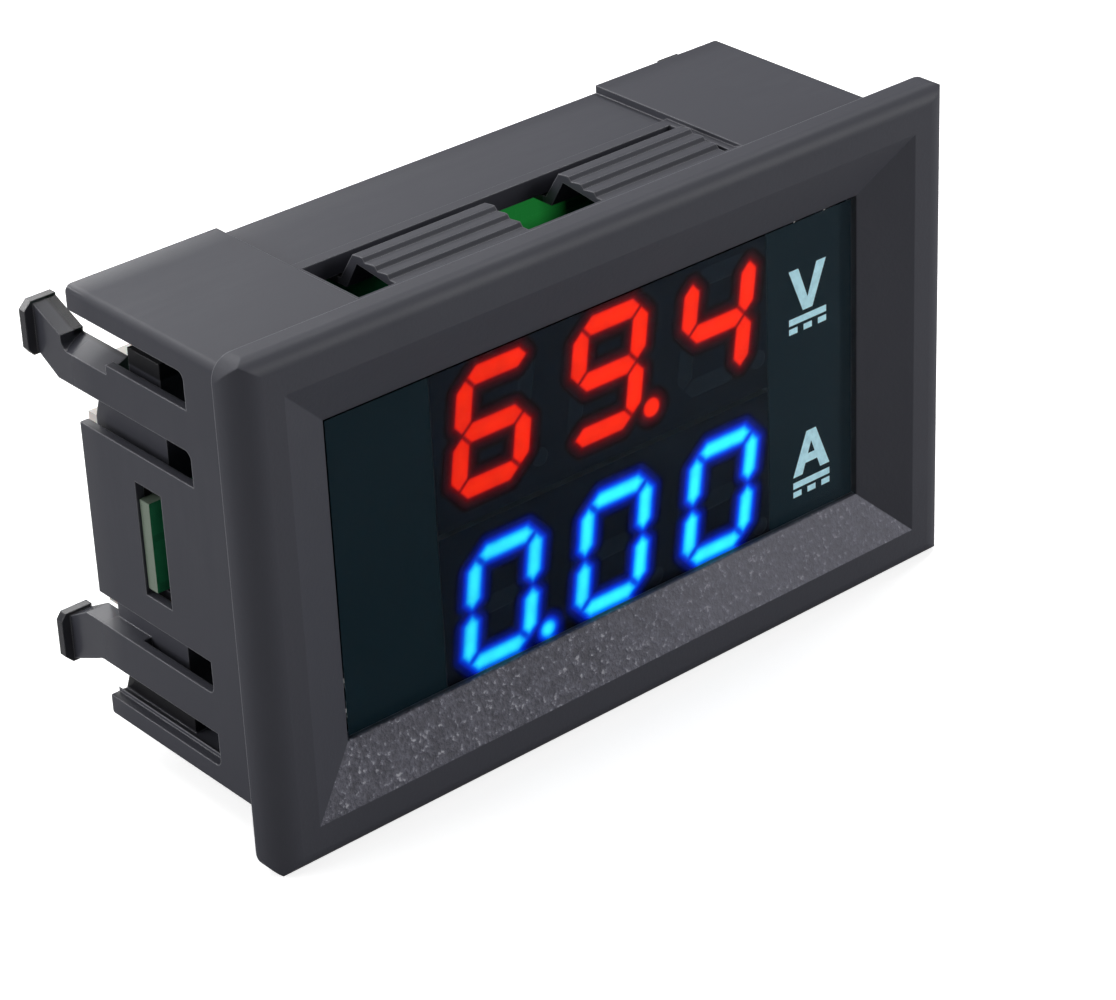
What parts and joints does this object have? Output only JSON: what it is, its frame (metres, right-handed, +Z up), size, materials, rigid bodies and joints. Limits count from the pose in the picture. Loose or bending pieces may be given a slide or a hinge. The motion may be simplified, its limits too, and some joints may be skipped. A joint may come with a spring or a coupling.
{
  "type": "digital panel meter",
  "caption": "Snap-in digital panel meter with a red voltage line and a blue current line in a dark rectangular housing with an open back.",
  "frame": {"origin": "centre of the panel cut-out in the panel's front face, which the back of the bezel lies on", "axes": "+X to the right seen from the front, along the bezel's width; +Y into the panel; +Z up"},
  "size_m": [0.048, 0.0203, 0.029],
  "materials": {
    "housing_plastic": "satin moulded ABS, fine spark-eroded grain",
    "tinted_window": "clear smoke-tinted acrylic, polished",
    "mask_print": "dark screen print",
    "legend_print": "pale screen print, lit from behind",
    "led_shell": "matt moulded PPO with a painted face",
    "red_lit": "clear resin, lit red",
    "blue_lit": "clear resin, lit blue",
    "segment_resin": "milky resin, unlit",
    "led_die": "bare LED dies",
    "led_board": "glass-epoxy board",
    "potting": "cast epoxy",
    "board": "glass-epoxy board with green solder mask",
    "chip_black": "matt moulding compound",
    "tinned_metal": "tin-plated metal",
    "shunt_alloy": "drawn resistance alloy",
    "nylon": "natural nylon",
    "trimmer_ceramic": "alumina",
    "can_aluminium": "drawn can",
    "capacitor_ceramic": "fired ceramic",
    "solder": "solidified solder"
  },
  "bodies": {
    "meter": {"housing": "housing_plastic", "display_window": "tinted_window", "mask_film": "mask_print", "legend_marks": "legend_print", "red_led_shell": "led_shell", "red_lit_segments": "red_lit", "red_dark_segments": "segment_resin", "red_led_chips": "led_die", "red_led_board": "led_board", "red_led_potting": "potting", "red_led_pins": "tinned_metal", "blue_led_shell": "led_shell", "blue_lit_segments": "blue_lit", "blue_dark_segments": "segment_resin", "blue_led_chips": "led_die", "blue_led_board": "led_board", "blue_led_potting": "potting", "blue_led_pins": "tinned_metal", "circuit_board": "board", "microcontroller": "chip_black", "microcontroller_leads": "tinned_metal", "amplifier": "chip_black", "amplifier_leads": "tinned_metal", "voltage_regulator": "chip_black", "regulator_leads": "tinned_metal", "input_diode": "chip_black", "diode_leads": "tinned_metal", "current_shunt": "shunt_alloy", "supply_header": "nylon", "supply_header_pins": "tinned_metal", "sense_header": "nylon", "sense_header_pins": "tinned_metal", "voltage_trimmer_base": "trimmer_ceramic", "current_trimmer_base": "trimmer_ceramic", "trimmer_leads": "tinned_metal", "reservoir_capacitor": "chip_black", "reservoir_end": "can_aluminium", "chip_capacitors": "capacitor_ceramic", "chip_resistors": "chip_black", "chip_end_caps": "solder", "solder_joints": "solder"},
    "voltage_rotor": {"voltage_trimmer_rotor": "tinned_metal"},
    "current_rotor": {"current_trimmer_rotor": "tinned_metal"}
  },
  "joints": [
    {"name": "voltage_adjust", "type": "hinge", "parent": "meter", "child": "voltage_rotor", "pos_m": [0.017, 0.0113, 0.0052], "axis": [0, 1, 0], "range_deg": [-120, 120]},
    {"name": "current_adjust", "type": "hinge", "parent": "meter", "child": "current_rotor", "pos_m": [0.017, 0.0113, -0.0052], "axis": [0, 1, 0], "range_deg": [-120, 120]}
  ]
}
